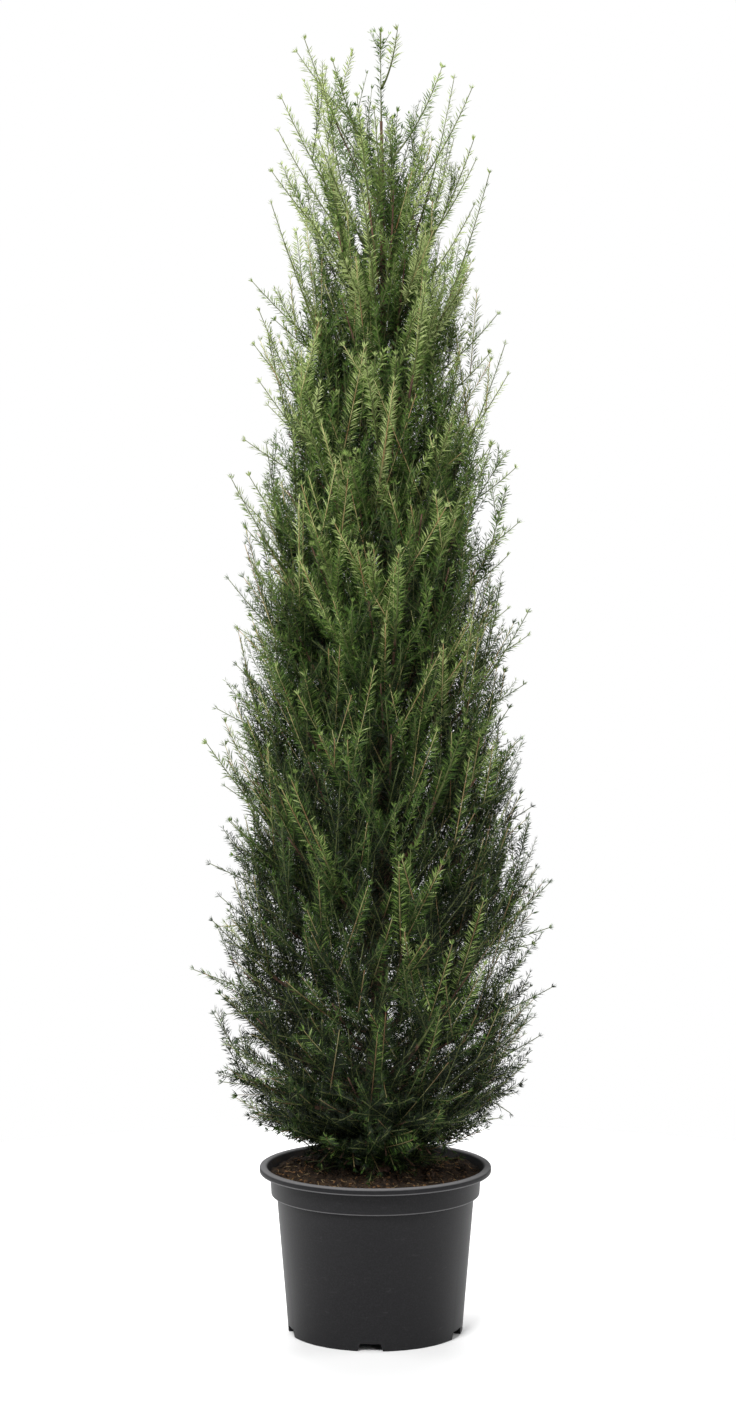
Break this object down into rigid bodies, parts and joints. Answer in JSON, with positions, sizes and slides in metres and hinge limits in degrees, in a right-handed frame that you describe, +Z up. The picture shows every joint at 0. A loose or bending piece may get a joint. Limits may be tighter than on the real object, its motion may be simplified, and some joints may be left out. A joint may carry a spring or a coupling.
{
  "type": "potted english yew",
  "caption": "Slender young yew tree, needled from its tip down to the soil, in a round dark nursery pot.",
  "frame": {"origin": "middle of the pot's underside, on the level of the floor", "axes": "+Z up along the pot's axis and the trunk; -Y towards the side the picture shows; +X to its right"},
  "size_m": [0.5452, 0.5507, 2.006],
  "materials": {
    "pot": "anthracite injection-moulded plastic, satin, lighter where the lip is worn",
    "soil": "moist peat and coir with bark chips, matt",
    "bark": "thin scaling red-brown bark, matt",
    "foliage": "dark green needles, yellow-green on the young shoots, slightly glossy"
  },
  "bodies": {
    "root": {"bough_05": "bark", "bough_06": "bark", "bough_07": "bark", "bough_08": "bark", "bough_09": "bark", "bough_10": "bark", "bough_11": "bark", "bough_12": "bark", "bough_13": "bark", "bough_14": "bark", "bough_15": "bark", "bough_16": "bark", "bough_17": "bark", "bough_18": "bark", "bough_19": "bark", "bough_20": "bark", "bough_21": "bark", "bough_22": "bark", "foliage_01": "foliage", "foliage_02": "foliage", "foliage_03": "foliage", "foliage_04": "foliage", "foliage_05": "foliage", "foliage_06": "foliage", "foliage_07": "foliage", "foliage_08": "foliage", "foliage_09": "foliage", "foliage_10": "foliage", "foliage_11": "foliage", "foliage_12": "foliage", "foliage_13": "foliage", "foliage_14": "foliage", "foliage_15": "foliage", "foliage_16": "foliage", "foliage_17": "foliage", "foliage_18": "foliage", "foliage_19": "foliage", "foliage_20": "foliage", "foliage_21": "foliage", "foliage_22": "foliage", "foliage_23": "foliage", "foliage_24": "foliage", "foliage_25": "foliage", "foliage_26": "foliage", "foliage_27": "foliage", "foliage_28": "foliage", "foliage_29": "foliage", "foliage_30": "foliage", "foliage_31": "foliage", "foliage_32": "foliage", "foliage_33": "foliage", "foliage_34": "foliage", "foliage_35": "foliage", "foliage_36": "foliage", "foliage_37": "foliage", "foliage_leader": "foliage", "pot": "pot", "soil": "soil", "trunk": "bark"}
  },
  "joints": []
}
